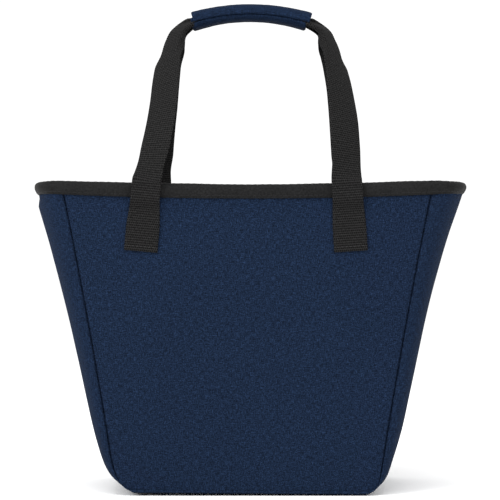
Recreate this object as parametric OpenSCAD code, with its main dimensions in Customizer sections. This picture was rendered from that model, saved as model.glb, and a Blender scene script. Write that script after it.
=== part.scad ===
// Insulated cooler tote: flared soft body with a bound rim, a zipped lid, and two
// webbing handles gathered in one padded grip wrap. Millimetres, +Z up, origin at the
// centre of the base on the floor, -Y is the front.

/* [Body] */
// Height of the side walls at the middle of the rim
wall_height = 231; // [220:1:240]
// Extra height of the rim at the corners
rim_rise = 3; // [0:0.5:5]
// Half the width between the seams of the front panel, at the floor
seam_half_width = 101.5; // [96:0.5:106]
// How much the seams flare outward per millimetre of height
seam_flare = 0.145; // [0.12:0.005:0.17]
// Radius of the lower corners of the front and rear panels
corner_radius = 26; // [20:1:30]
// Half the depth of the body at the floor
base_half_depth = 62; // [60:1:66]
// How much the front and rear lean outward per millimetre of height
depth_flare = 0.04; // [0.03:0.005:0.05]
// How far the front and rear panels belly out at mid height
panel_belly = 4; // [0:0.5:6]

/* [Layers] */
// Thickness of the outer canvas
canvas_t = 1; // [0.8:0.1:1.2]
// Thickness of the insulating foam in the walls
foam_t = 4.9; // [4:0.1:5]
// Thickness of the foil lining
lining_t = 0.8; // [0.5:0.1:1]
// Thickness of the binding tape
tape_t = 1.4; // [1:0.1:1.6]
// Depth that the binding covers below the top of the wall
binding_drop = 10.5; // [9:0.5:12]

/* [Lid] */
// Height of the lid's top surface
lid_z = 225; // [223:0.5:226]
// Half the length of the two hinged lid flaps
flap_half_length = 116; // [112:1:118]
// Thickness of the lid's foam
lid_foam_t = 3.4; // [3:0.1:4]

/* [Handles] */
// Width of the webbing
webbing_w = 25; // [22:1:28]
// Thickness of the webbing
webbing_t = 1.5; // [1.2:0.1:1.6]
// Height of the middle of the grip
grip_z = 369; // [365:1:372]
// Radius of the grip's arch
grip_radius = 158; // [150:1:170]
// Half the length of the grip wrap, as an angle of its arch in degrees
grip_half_angle = 16.5; // [15:0.5:18]

/* [Hidden] */
$fn = 48;

navy = "#1b2c4c";
black = "#1d1d1e";
silver = "#b9bcc0";
foam_white = "#e6e6e2";

gap = 0.1;                       // between two layers
seam_gap = 0.25;                 // half the gap between a panel and the gusset
seam_z = 7.5;                    // height of the bottom seams
seam_curve = 0.000125;           // extra flare of the seams, per square millimetre
canvas_in = [0, canvas_t];
foam_in = [canvas_t + gap, canvas_t + gap + foam_t];
lining_in = [foam_in[1] + gap, foam_in[1] + gap + lining_t];
wall_t = lining_in[1];
corner_top_z = seam_z + corner_radius;
rim_corner_z = wall_height + rim_rise;

// ---- Shape of the body ------------------------------------------------------------

// Half the width between the seams at height z, without the rounded lower corner
function seam_x(z) = seam_half_width + seam_flare * z + seam_curve * z * z;

// How far the side of the gusset bulges outside its seams at height z
function side_bulge(z) = 8.5 + 0.055 * z + 3.5 * pow(max(z, 0) / 233, 6);

// Share of that bulge at a turn from -90 at the front seam to 90 at the rear seam
function bulge_share(turn, flatness) = min(1, 1.02 * pow(cos(turn), 2 / flatness));

// Share of the half depth at the same turn
function depth_share(turn, flatness) = sign(turn) * pow(abs(sin(turn)), 2 / flatness);

side_flatness = 2.6;
base_flatness = 6;

function half_depth(z) = base_half_depth + depth_flare * z;

// How far a panel bellies out, up being 0 at its bottom edge and 1 at the rim
function belly(up) = panel_belly * sin(180 * min(1, up / 0.9));

// Height of the top of the wall at x
function wall_top(x) = wall_height + rim_rise * pow(min(1, abs(x) / seam_x(wall_height)), 2);

function lerp(a, b, k) = a + (b - a) * k;

function smooth(k) = k * k * (3 - 2 * k);

corner_steps = 6;
side_steps = 9;

// One side of the panel outline, from the bottom edge to the top: [half width, height, turn],
// where turn is 0 on the bottom edge and 90 on the side
function side_outline() = concat(
    [for (i = [0:corner_steps])
        let (turn = 90 * i / corner_steps,
             z = seam_z + corner_radius * (1 - cos(turn)))
        [seam_x(z) - corner_radius * (1 - sin(turn)), z, turn]],
    [for (i = [1:side_steps])
        let (z = lerp(corner_top_z, rim_corner_z, i / side_steps)) [seam_x(z), z, 90]]);

// ---- Thick sheets -----------------------------------------------------------------

// A closed solid between two grids of points with the same rows and columns
module thick_sheet(outer, inner) {
    rows = len(outer);
    cols = len(outer[0]);
    count = rows * cols;
    points = concat([for (row = outer) each row], [for (row = inner) each row]);
    function at(r, c, side) = side * count + r * cols + c;
    function quad(a, b, c, d) = [[a, b, c], [a, c, d]];
    faces = concat(
        [for (r = [0:rows - 2]) for (c = [0:cols - 2]) each
            quad(at(r, c, 0), at(r + 1, c, 0), at(r + 1, c + 1, 0), at(r, c + 1, 0))],
        [for (r = [0:rows - 2]) for (c = [0:cols - 2]) each
            quad(at(r, c, 1), at(r, c + 1, 1), at(r + 1, c + 1, 1), at(r + 1, c, 1))],
        [for (r = [0:rows - 2]) each quad(at(r, 0, 0), at(r, 0, 1), at(r + 1, 0, 1), at(r + 1, 0, 0))],
        [for (r = [0:rows - 2]) each
            quad(at(r, cols - 1, 0), at(r + 1, cols - 1, 0), at(r + 1, cols - 1, 1), at(r, cols - 1, 1))],
        [for (c = [0:cols - 2]) each quad(at(0, c, 0), at(0, c + 1, 0), at(0, c + 1, 1), at(0, c, 1))],
        [for (c = [0:cols - 2]) each
            quad(at(rows - 1, c, 0), at(rows - 1, c, 1), at(rows - 1, c + 1, 1), at(rows - 1, c + 1, 0))]);
    polyhedron(points, faces);
}

// A closed solid swept through rings of points, capped at both ends or joined into a loop
module swept_rings(rings, loop = false) {
    n = len(rings);
    m = len(rings[0]);
    points = [for (ring = rings) each ring];
    last = loop ? n - 1 : n - 2;
    sides = [for (i = [0:last]) for (j = [0:m - 1])
        let (a = i * m + j, b = i * m + (j + 1) % m,
             c = ((i + 1) % n) * m + (j + 1) % m, d = ((i + 1) % n) * m + j)
        each [[a, b, c], [a, c, d]]];
    caps = loop ? [] : [[for (j = [m - 1:-1:0]) j], [for (j = [0:m - 1]) (n - 1) * m + j]];
    polyhedron(points, concat(sides, caps));
}

// ---- Body panels ------------------------------------------------------------------

panel_columns = 14;

// A point of a panel's surface, inset by t from its outside; side is -1 for the front
function panel_point(across, station, t, side) =
    let (x = across * (station[0] - seam_gap),
         up = (station[1] - seam_z) / (rim_corner_z - seam_z),
         z = lerp(seam_z + seam_gap, wall_top(x), up),
         out = belly(up) * (1 - pow(abs(across), 3)))
    [x, side * (half_depth(z) + out - t), z];

function panel_grid(t, side) = [for (station = side_outline())
    [for (c = [0:panel_columns]) panel_point(-side * (2 * c / panel_columns - 1), station, t, side)]];

module panel_layer(inset, side) {
    thick_sheet(panel_grid(inset[0], side), panel_grid(inset[1], side));
}

gusset_columns = 12;

// Stations of the gusset along its seam, from the top left, under the base, to the top right:
// [x, z, outward x, outward z, bulge, flatness]
function gusset_stations() =
    let (half = side_outline(), n = len(half))
    concat(
        [for (i = [n - 1:-1:0]) gusset_station(half[i], -1)],
        [for (i = [0:n - 1]) gusset_station(half[i], 1)]);

function gusset_station(s, hand) =
    let (k = s[2] / 90)
    [hand * (s[0] + seam_gap * sin(s[2])), s[1] - seam_gap * cos(s[2]),
     hand * sin(s[2]), -cos(s[2]),
     lerp(seam_z - seam_gap, side_bulge(s[1]), smooth(k)), lerp(base_flatness, side_flatness, smooth(k))];

// A point of the gusset's surface, inset by t; turn runs from -90 at the front to 90 at the rear
function gusset_point(s, turn, t) =
    let (out = (s[4] - t) * bulge_share(turn, s[5]))
    [s[0] + s[2] * out, (half_depth(s[1]) - t) * depth_share(turn, s[5]), s[1] + s[3] * out];

function gusset_grid(t) = [for (s = gusset_stations())
    [for (c = [0:gusset_columns]) gusset_point(s, 180 * c / gusset_columns - 90, t)]];

module gusset_layer(inset) {
    thick_sheet(gusset_grid(inset[0]), gusset_grid(inset[1]));
}

module front_panel() { color(navy) panel_layer(canvas_in, -1); }
module rear_panel() { color(navy) panel_layer(canvas_in, 1); }
module gusset() { color(navy) gusset_layer(canvas_in); }
module front_foam() { color(foam_white) panel_layer(foam_in, -1); }
module rear_foam() { color(foam_white) panel_layer(foam_in, 1); }
module gusset_foam() { color(foam_white) gusset_layer(foam_in); }
module front_lining() { color(silver) panel_layer(lining_in, -1); }
module rear_lining() { color(silver) panel_layer(lining_in, 1); }
module gusset_lining() { color(silver) gusset_layer(lining_in); }

// A rectangle with round corners, standing on z
module rounded_plate(size_x, size_y, radius, thickness) {
    dx = size_x / 2 - radius;
    dy = size_y / 2 - radius;
    linear_extrude(thickness) union() {
        square([size_x, 2 * dy], center = true);
        square([2 * dx, size_y], center = true);
        for (x = [-dx, dx]) for (y = [-dy, dy]) translate([x, y]) circle(radius);
    }
}

board_size = [148, 92];
board_z = 7.1;
board_t = 1.5;

// Stiffening board that lies on the floor of the bag
module base_board() {
    color("#3a3b3d") translate([0, 0, board_z]) rounded_plate(board_size[0], board_size[1], 12, board_t);
}

// ---- Rim --------------------------------------------------------------------------

rim_front_steps = 14;
rim_end_steps = gusset_columns;
binding_gap = 0.3;               // between the binding and the wall inside it

binding_out = binding_gap + tape_t;

// A point of the wall's section at height z, inset by t; turn runs round one end of the rim
function section_end(turn, t, z, hand) =
    [hand * (seam_x(z) + seam_gap + (side_bulge(z) - t) * bulge_share(turn, side_flatness)),
     (half_depth(z) - t) * depth_share(turn, side_flatness), z];

// Profile of the binding: [inset from the wall's outside, height over the wall's top]
function binding_profile() = [
    [-binding_out, -binding_drop], [-binding_out - 0.8, -6], [-binding_out - 0.6, -1.5],
    [-0.6, 1.3], [1.5, 1.9], [wall_t - 1.5, 1.9], [wall_t + 0.7, 1.1], [wall_t + binding_out, -1.5],
    [wall_t + binding_out, -binding_drop], [wall_t + binding_gap, -binding_drop],
    [wall_t + binding_gap, 0.4], [-binding_gap, 0.4], [-binding_gap, -binding_drop]];

function rim_ring_front(x_share, side) = [for (p = binding_profile())
    let (x0 = x_share * seam_x(wall_height), z = wall_top(x0) + p[1])
    [x_share * seam_x(z), side * (half_depth(z) - p[0]), z]];

function rim_ring_end(turn, hand) = [for (p = binding_profile())
    section_end(turn, p[0], rim_corner_z + p[1], hand)];

module rim_binding() {
    rings = concat(
        [for (i = [0:rim_front_steps]) rim_ring_front(2 * i / rim_front_steps - 1, -1)],
        [for (i = [1:rim_end_steps - 1]) rim_ring_end(180 * i / rim_end_steps - 90, 1)],
        [for (i = [0:rim_front_steps]) rim_ring_front(1 - 2 * i / rim_front_steps, 1)],
        [for (i = [1:rim_end_steps - 1]) rim_ring_end(90 - 180 * i / rim_end_steps, -1)]);
    color(black) swept_rings(rings, loop = true);
}

// ---- Lid --------------------------------------------------------------------------

hinge_y = half_depth(wall_height) - wall_t - binding_out - 0.6;
lid_cover_t = 0.9;
lid_lining_t = 0.6;
zip_clear_y = 8;                 // half the open strip between the two lid flaps
lid_layers = [
    [lid_z - lid_cover_t, lid_z],
    [lid_z - lid_cover_t - 0.8 - lid_foam_t, lid_z - lid_cover_t - 0.8],
    [lid_z - lid_cover_t - 0.9 - lid_foam_t - lid_lining_t, lid_z - lid_cover_t - 0.9 - lid_foam_t]];
tape_top_z = lid_z - lid_cover_t - gap;
zip_tape_t = 0.6;
zip_gap = 0.55;                  // half the gap between the two halves of the zip
coil_w = 2.85;
coil_h = 1.8;
end_start_x = flap_half_length + 0.5;

// A box from its lowest to its highest corner
module block(low, high) {
    translate(low) cube(high - low);
}

module flap_layer(layer, side) {
    y0 = side > 0 ? zip_clear_y : -hinge_y;
    y1 = side > 0 ? hinge_y : -zip_clear_y;
    block([-flap_half_length, y0, layer[0]], [flap_half_length, y1, layer[1]]);
}

module zip_strip(side, x0, x1, near_y, far_y, z0, z1) {
    y0 = side > 0 ? near_y : -far_y;
    y1 = side > 0 ? far_y : -near_y;
    block([x0, y0, z0], [x1, y1, z1]);
}

module zip_tape_half(side, x0, x1) {
    zip_strip(side, x0, x1, zip_gap, 14, tape_top_z - zip_tape_t, tape_top_z);
}

module zip_coil_half(side, x0, x1) {
    zip_strip(side, x0, x1, zip_gap, zip_gap + coil_w, tape_top_z + 0.05, tape_top_z + 0.05 + coil_h);
}

// Outline of the fixed lid end inside the rim, with the slot that the slider runs in
function lid_end_outline(hand) =
    let (t = wall_t + binding_out + 0.5, z = lid_z - 3, slot_x = 134)
    concat(
        [[hand * slot_x, -6], [hand * end_start_x, -6], [hand * end_start_x, -half_depth(z) + t]],
        [for (i = [0:16]) let (p = section_end(180 * i / 16 - 90, t, z, hand)) [p[0], p[1]]],
        [[hand * end_start_x, half_depth(z) - t], [hand * end_start_x, 6], [hand * slot_x, 6]]);

module lid_ends_layer(layer) {
    for (hand = [-1, 1])
        translate([0, 0, layer[0]]) linear_extrude(layer[1] - layer[0]) polygon(lid_end_outline(hand));
}

module lid_ends_cover() { color(black) lid_ends_layer(lid_layers[0]); }
module lid_ends_foam() { color(foam_white) lid_ends_layer(lid_layers[1]); }
module lid_ends_lining() { color(silver) lid_ends_layer(lid_layers[2]); }

end_tape_x = 150;
end_coil_x = 133.5;

module zip_end_tapes() {
    color(black) for (side = [-1, 1]) {
        zip_tape_half(side, end_start_x, end_tape_x);
        zip_tape_half(side, -end_tape_x, -end_start_x);
    }
}

module zip_end_coils() {
    color("#161617") for (side = [-1, 1]) {
        zip_coil_half(side, end_start_x, end_coil_x);
        zip_coil_half(side, -end_coil_x, -end_start_x);
    }
}

end_tab_x = [134.5, 153];
end_tab_z = lid_z + gap;

// Fabric tabs that cover the two ends of the zip
module zip_end_tabs() {
    color(black) for (hand = [-1, 1])
        translate([hand * (end_tab_x[0] + end_tab_x[1]) / 2, 0, end_tab_z])
            rounded_plate(end_tab_x[1] - end_tab_x[0], 20, 2, 1);
}

module lid_front_cover() { color(black) flap_layer(lid_layers[0], -1); }
module lid_front_foam() { color(foam_white) flap_layer(lid_layers[1], -1); }
module lid_front_lining() { color(silver) flap_layer(lid_layers[2], -1); }
module lid_rear_cover() { color(black) flap_layer(lid_layers[0], 1); }
module lid_rear_foam() { color(foam_white) flap_layer(lid_layers[1], 1); }
module lid_rear_lining() { color(silver) flap_layer(lid_layers[2], 1); }
module zip_tape_front() { color(black) zip_tape_half(-1, -flap_half_length, flap_half_length); }
module zip_tape_rear() { color(black) zip_tape_half(1, -flap_half_length, flap_half_length); }
module zip_coil_front() { color("#161617") zip_coil_half(-1, -flap_half_length, flap_half_length); }
module zip_coil_rear() { color("#161617") zip_coil_half(1, -flap_half_length, flap_half_length); }

// ---- Zip slider and puller --------------------------------------------------------

slider_x = 125;
slider_length = 14;
slider_half_w = 4.9;
slider_top_z = tape_top_z + coil_h + 0.35;
slider_bottom_z = tape_top_z - zip_tape_t - 0.3;
plate_t = 1.2;
pivot_z = slider_top_z + plate_t + 1.9;
puller_r = 0.7;

// Two plates joined by a thin divider, with rims that guide the coil and a crown over the puller
module zip_slider() {
    color("#2a2b2d") translate([slider_x, 0, 0]) {
        for (z = [slider_bottom_z - plate_t, slider_top_z])
            translate([0, 0, z]) rounded_plate(slider_length, 2 * slider_half_w, 3, plate_t);
        for (side = [-1, 1])
            translate([0, side * (slider_half_w - 0.65), (slider_top_z + tape_top_z + 0.3) / 2])
                cube([9, 1.3, slider_top_z - tape_top_z - 0.3 + 0.02], center = true);
        block([-4, -0.25, slider_bottom_z - 0.1], [4, 0.25, slider_top_z + 0.1]);
        translate([0, -1.1, 0]) rotate([-90, 0, 0]) translate([0, -pivot_z, 0]) difference() {
            union() {
                cylinder(h = 2.2, r = 2.2);
                translate([-2.2, 0, 0]) cube([4.4, pivot_z - slider_top_z - plate_t + 0.1, 2.2]);
            }
            translate([0, 0, -1]) cylinder(h = 4.2, r = 1.2);
        }
    }
}

puller_length = 25;
puller_half_w = 3.6;

// Frame that hangs on the crown by its round bar, with a flat tab
module zip_puller() {
    color("#2a2b2d") translate([slider_x, 0, pivot_z]) {
        rotate([90, 0, 0]) cylinder(h = 2 * puller_half_w, r = puller_r, center = true);
        for (side = [-1, 1])
            translate([3, side * (puller_half_w - 0.9), 0]) cube([6, 1.8, 2 * puller_r], center = true);
        difference() {
            translate([3.2, -puller_half_w, -puller_r])
                cube([puller_length - 3.2 - puller_half_w, 2 * puller_half_w, 2 * puller_r]);
            translate([21, 0, -2]) cylinder(h = 4, r = 1.6);
        }
        difference() {
            translate([puller_length - puller_half_w, 0, -puller_r]) cylinder(h = 2 * puller_r, r = puller_half_w);
            translate([21, 0, -2]) cylinder(h = 4, r = 1.6);
        }
    }
}

// ---- Handles ----------------------------------------------------------------------

tab_end_z = 183;                 // lower end of the sewn webbing
tab_top_z = 236.5;               // where the webbing leaves the rim
rim_face = 2.8;                  // webbing stands this far off the wall over the binding
leg_start_y = half_depth(tab_top_z) + rim_face + webbing_t / 2;
grip_centre_z = grip_z - grip_radius;
strap_lift = 1.6;                // half the height between the two folded straps in the grip
folded_w = 13.4;
folded_t = 2.9;

// The sewn end of a strap: [x at the lower end, x at the rim]
front_tabs = [[-81.5, -77], [75, 71.6]];
rear_tabs = [[-78, -75], [80, 77]];

// Heights and stand-off of the webbing as it climbs the wall and crosses the binding
tab_steps = [[tab_end_z, 0.2], [wall_height - binding_drop - 4, 0.2],
    [wall_height - binding_drop + 2, rim_face - 0.1], [tab_top_z, rim_face]];

function tab_ring(tab, step, side) =
    let (k = (step[0] - tab_end_z) / (tab_top_z - tab_end_z),
         x = lerp(tab[0], tab[1], k),
         up = (step[0] - seam_z) / (rim_corner_z - seam_z),
         y0 = half_depth(step[0]) + belly(up) + step[1])
    [for (p = [[-1, 0], [1, 0], [1, 1], [-1, 1]])
        [x - side * p[0] * webbing_w / 2, side * (y0 + p[1] * webbing_t), step[0]]];

module handle_tabs(tabs, side) {
    for (tab = tabs) swept_rings([for (step = tab_steps) tab_ring(tab, step, side)]);
}

module front_handle_tabs() { color(black) handle_tabs(front_tabs, -1); }
module rear_handle_tabs() { color(black) handle_tabs(rear_tabs, 1); }

function grip_point(angle, lift) = [
    (grip_radius + lift) * sin(angle), 0, grip_centre_z + (grip_radius + lift) * cos(angle)];

function bezier(p, k) =
    pow(1 - k, 3) * p[0] + 3 * k * pow(1 - k, 2) * p[1] + 3 * k * k * (1 - k) * p[2] + pow(k, 3) * p[3];

function bezier_slope(p, k) =
    3 * pow(1 - k, 2) * (p[1] - p[0]) + 6 * k * (1 - k) * (p[2] - p[1]) + 3 * k * k * (p[3] - p[2]);

function unit(v) = v / norm(v);

leg_steps = 26;
leg_lift = 0.2;                  // gap between a leg and the sewn end below it
leg_end_angle = grip_half_angle + 0.5;
leg_bend = 18;                   // length over which a leg bends into the grip
leg_part = 6;                    // how far the legs part along Y over that length
leg_split = 3;                   // and how far they part in height
leg_mid_y = 56;
leg_mid_z = 300;
turned_at = 0.9;                 // share of a leg after which it lies flat

// Control points of a leg, from the rim to the grip
function leg_route(x0, x1, side) =
    let (angle = sign(x0) * leg_end_angle, end = grip_point(angle, side * strap_lift))
    [[x0, side * leg_start_y, tab_top_z + leg_lift],
     [x1, side * leg_mid_y, leg_mid_z],
     end + [sign(x0) * leg_bend * cos(angle), side * leg_part, side * leg_split - leg_bend * abs(sin(angle))],
     end];

// A four-sided ring: half the width and half the thickness along two directions
function flat_ring(centre, wide, thin) =
    [for (c = [[-1, -1], [-1, 1], [1, 1], [1, -1]]) centre + c[0] * wide + c[1] * thin];

// One ring of a leg: the webbing turns from facing outward to lying folded in the grip
function leg_ring(p, k, side) =
    let (along = unit(bezier_slope(p, k)),
         hand = sign(p[3][0]),
         kt = min(1, k / turned_at),
         turn = 90 * (0.78 * kt + 0.22 * pow(kt, 6)),
         fold = pow(k, 3),
         wanted = cos(turn) * [1, 0, 0] - sin(turn) * [0, hand * side, 0],
         wide = unit(wanted - (wanted * along) * along))
    flat_ring(bezier(p, k), lerp(webbing_w, folded_w, fold) / 2 * wide,
        lerp(webbing_t, folded_t, fold) / 2 * cross(along, wide));

// The last ring of a leg, square to the grip's arch
function leg_end_ring(p, side) =
    let (hand = sign(p[3][0]), up = [hand * sin(leg_end_angle), 0, cos(leg_end_angle)])
    flat_ring(p[3], [0, -hand * side * folded_w / 2, 0], side * folded_t / 2 * up);

module handle_leg(p, side) {
    swept_rings(concat(
        [flat_ring(p[0], [webbing_w / 2, 0, 0], [0, webbing_t / 2, 0])],
        [for (i = [1:leg_steps - 2]) leg_ring(p, i / leg_steps, side)],
        [leg_end_ring(p, side)]));
}

module front_handle_left_leg() { color(black) handle_leg(leg_route(-77, -64.5, -1), -1); }
module front_handle_right_leg() { color(black) handle_leg(leg_route(71.6, 73.5, -1), -1); }
module rear_handle_left_leg() { color(black) handle_leg(leg_route(-75, -72, 1), 1); }
module rear_handle_right_leg() { color(black) handle_leg(leg_route(77, 74.5, 1), 1); }

// ---- Grip -------------------------------------------------------------------------

// Sweeps a section, drawn as [outward from the arch's centre, along Y], over the grip's arch
module along_grip(half_angle) {
    translate([0, 0, grip_centre_z]) rotate([90, 0, 0]) rotate([0, 0, 90 - half_angle])
        rotate_extrude(angle = 2 * half_angle) translate([grip_radius, 0]) mirror([0, 1]) children();
}

// Points of an oval with flat top and bottom: the section of the wrap at an offset from its core
function oval(half_w, half_h, a0, a1, steps) = [for (i = [0:steps])
    let (a = lerp(a0, a1, i / steps), flat = half_w - half_h)
    [half_h * cos(a), half_h * sin(a) + (sin(a) > 0 ? flat : -flat)]];

// A curved strip of the wrap's section between two offsets and two angles; 0 is up, -90 is the front
module wrap_strip(inner, outer, a0, a1, steps) {
    polygon(concat(
        oval(wrap_core_w + outer, wrap_core_h + outer, a0, a1, steps),
        oval(wrap_core_w + inner, wrap_core_h + inner, a1, a0, steps)));
}

// Layers of the wrap, as offsets from its core outward, and the angles round it where they start
// and end: 0 is up, -90 is the front, and 270 is the front again, reached under the wrap
wrap_core_w = 9.2;
wrap_core_h = 3.3;
wrap_padding_in = [0, 1.3];
wrap_cover_in = [1.35, 2.1];
loop_in = [2.15, 2.5];
hook_in = [2.6, 2.95];
flap_padding_in = [1.45, 2.9];
flap_cover_in = [3, 3.7];
hinge_angle = 34;                // where the flap folds, at the top rear of the wrap
lip_angle = 290;                 // upper edge of the lip, behind the flap
flap_edge_angle = -105;          // lower edge of the flap at the front
strip_angles = [262, 288];       // extent of the hook-and-loop strips

module front_handle_grip_strap() {
    color(black) along_grip(leg_end_angle - 0.25)
        translate([-strap_lift, 0]) square([folded_t, folded_w], center = true);
}

module rear_handle_grip_strap() {
    color(black) along_grip(leg_end_angle - 0.25)
        translate([strap_lift, 0]) square([folded_t, folded_w], center = true);
}

// One layer of the wrap, shortened by some degrees of the grip's arch at each end
module wrap_layer(inset, a0, a1, steps, short = 0) {
    along_grip(grip_half_angle - short) wrap_strip(inset[0], inset[1], a0, a1, steps);
}

module wrap_cover() { color(navy) wrap_layer(wrap_cover_in, hinge_angle + 2, lip_angle, 24); }
module wrap_padding() { color(foam_white) wrap_layer(wrap_padding_in, hinge_angle + 2, lip_angle - 3, 22, 0.4); }
module wrap_loop_strip() { color(black) wrap_layer(loop_in, strip_angles[0], strip_angles[1], 5, 1); }
module wrap_flap_cover() { color(navy) wrap_layer(flap_cover_in, hinge_angle, flap_edge_angle, 22); }
module wrap_flap_padding() { color(foam_white) wrap_layer(flap_padding_in, hinge_angle - 2, -66, 16, 0.4); }
module wrap_hook_strip() {
    color(black) wrap_layer(hook_in, strip_angles[0] - 360, strip_angles[1] - 360, 5, 1);
}

// ---- Nodes ------------------------------------------------------------------------

front_panel();
rear_panel();
gusset();
front_foam();
rear_foam();
gusset_foam();
front_lining();
rear_lining();
gusset_lining();
base_board();
rim_binding();
front_handle_tabs();
rear_handle_tabs();
front_handle_left_leg();
front_handle_right_leg();
rear_handle_left_leg();
rear_handle_right_leg();
lid_ends_cover();
lid_ends_foam();
lid_ends_lining();
zip_end_tapes();
zip_end_coils();
zip_end_tabs();
lid_front_cover();
lid_front_foam();
lid_front_lining();
zip_tape_front();
zip_coil_front();
lid_rear_cover();
lid_rear_foam();
lid_rear_lining();
zip_tape_rear();
zip_coil_rear();
zip_slider();
zip_puller();
front_handle_grip_strap();
rear_handle_grip_strap();
wrap_cover();
wrap_padding();
wrap_loop_strip();
wrap_flap_cover();
wrap_flap_padding();
wrap_hook_strip();
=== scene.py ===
"""Insulated cooler tote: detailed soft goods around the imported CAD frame."""

import math

import bmesh
import bpy
import numpy as np
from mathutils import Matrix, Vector, noise


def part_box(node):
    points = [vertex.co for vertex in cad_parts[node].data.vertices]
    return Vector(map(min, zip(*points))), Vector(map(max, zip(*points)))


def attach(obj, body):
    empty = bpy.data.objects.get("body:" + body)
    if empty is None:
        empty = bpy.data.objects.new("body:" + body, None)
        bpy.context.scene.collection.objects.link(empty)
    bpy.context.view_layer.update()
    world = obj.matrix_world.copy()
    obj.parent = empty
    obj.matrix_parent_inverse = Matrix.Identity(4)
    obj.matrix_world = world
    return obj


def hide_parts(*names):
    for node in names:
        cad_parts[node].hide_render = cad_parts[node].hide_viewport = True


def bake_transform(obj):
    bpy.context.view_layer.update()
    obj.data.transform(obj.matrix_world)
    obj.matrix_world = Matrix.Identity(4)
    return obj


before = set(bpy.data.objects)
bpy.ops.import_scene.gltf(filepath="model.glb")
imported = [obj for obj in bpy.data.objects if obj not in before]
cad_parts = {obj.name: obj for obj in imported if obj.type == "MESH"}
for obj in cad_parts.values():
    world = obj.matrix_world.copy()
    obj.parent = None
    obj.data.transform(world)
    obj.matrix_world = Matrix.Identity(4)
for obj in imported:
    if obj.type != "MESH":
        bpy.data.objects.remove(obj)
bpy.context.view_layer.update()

MM = 0.001

# ---- Driving dimensions, in millimetres ----

# The body: a front and a rear panel, and a gusset that runs down one side, under the base
# and up the other. Seams flare outward with height.
SEAM_HALF_WIDTH, SEAM_FLARE, SEAM_CURVE = 101.5, 0.145, 0.000125
SEAM_Z = 3.5
CORNER_RADIUS = 10.0
BASE_HALF_DEPTH = 62.0
DEPTH_FLARE = 0.04
PANEL_BELLY = 4.0
RIM_CORNER_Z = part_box("gusset")[1].z / MM
RIM_RISE = 3.0
WALL_HEIGHT = RIM_CORNER_Z - RIM_RISE
SIDE_FLATNESS, BASE_FLATNESS = 2.6, 6.0
SEAM_GAP = 0.25
GATHER_PITCH = 7.4

CANVAS_T, FILM_T = 1.0, 0.5
WALL_T = 6.9
FILM_IN = 6.2

# Handles
WEBBING_W, WEBBING_T = 25.0, 1.4
RIB_PITCH, RIB_DEPTH = 1.8, 0.15
TAB_END_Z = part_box("front_handle_tabs")[0].z / MM
TAB_TOP_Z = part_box("front_handle_tabs")[1].z / MM
GRIP_RADIUS = 158.0
GRIP_CENTRE_Z = 369.0 - GRIP_RADIUS
GRIP_HALF_ANGLE = 16.5
STRAP_LIFT = 1.6
LID_END_X = 116.5


# ---- Small helpers ----

def join(*parts):
    """Points from their coordinates, each of them an array or a number."""
    return np.stack(np.broadcast_arrays(*parts), -1)


def lerp(a, b, k):
    return a + (b - a) * k


def smooth(k):
    k = np.clip(k, 0, 1)
    return k * k * (3 - 2 * k)


def ripple(points, scale, seed):
    """Smooth noise from -1 to 1 at each point, with features about `scale` long."""
    offset = Vector((seed * 17.3, seed * 5.1, seed * 9.7))
    return np.array([noise.noise(Vector(p) / scale + offset) for p in points.reshape(-1, 3)]
                    ).reshape(points.shape[:-1])


def write_uv(mesh, uv):
    """Writes the UV layer that the woven materials read: a pair per vertex, in millimetres here
    and in metres in the layer."""
    uv = np.asarray(uv, float).reshape(-1, 2) * MM
    layer = mesh.uv_layers.get("cloth") or mesh.uv_layers.new(name="cloth")
    loops = np.empty(len(mesh.loops), int)
    mesh.loops.foreach_get("vertex_index", loops)
    layer.data.foreach_set("uv", uv[loops].ravel())


def new_object(name, vertices, faces, uv=None):
    """A smooth-shaded mesh object from vertices and, if it has any, UVs in millimetres."""
    mesh = bpy.data.meshes.new(name)
    mesh.from_pydata((np.asarray(vertices, float) * MM).tolist(), [], [tuple(f) for f in faces])
    if uv is not None:
        write_uv(mesh, uv)
    mesh.polygons.foreach_set("use_smooth", [True] * len(mesh.polygons))
    mesh.validate()
    mesh.update()
    obj = bpy.data.objects.new(name, mesh)
    bpy.context.scene.collection.objects.link(obj)
    return obj


def face_outward(obj):
    """Makes a closed mesh's faces point outward."""
    bm = bmesh.new()
    bm.from_mesh(obj.data)
    bmesh.ops.recalc_face_normals(bm, faces=bm.faces)
    bm.to_mesh(obj.data)
    bm.free()


def shell(name, outer, inner, uv):
    """A closed solid between two grids of points with the same rows and columns."""
    rows, cols = outer.shape[:2]
    count = rows * cols
    index = np.arange(count).reshape(rows, cols)
    quads = []
    for base, turn in ((0, 1), (count, -1)):
        a = index[:-1, :-1] + base
        b = index[1:, :-1] + base
        c = index[1:, 1:] + base
        d = index[:-1, 1:] + base
        quads.append(np.stack([a, b, c, d][::turn], -1).reshape(-1, 4))
    edges = [(index[:, 0], 1), (index[:, -1], -1), (index[0, :], -1), (index[-1, :], 1)]
    for line, turn in edges:
        rim = np.stack([line[:-1], line[:-1] + count, line[1:] + count, line[1:]][::turn], -1)
        quads.append(rim)
    vertices = np.concatenate([outer.reshape(-1, 3), inner.reshape(-1, 3)])
    obj = new_object(name, vertices, np.concatenate(quads), np.tile(uv.reshape(-1, 2), (2, 1)))
    face_outward(obj)
    return obj


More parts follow.
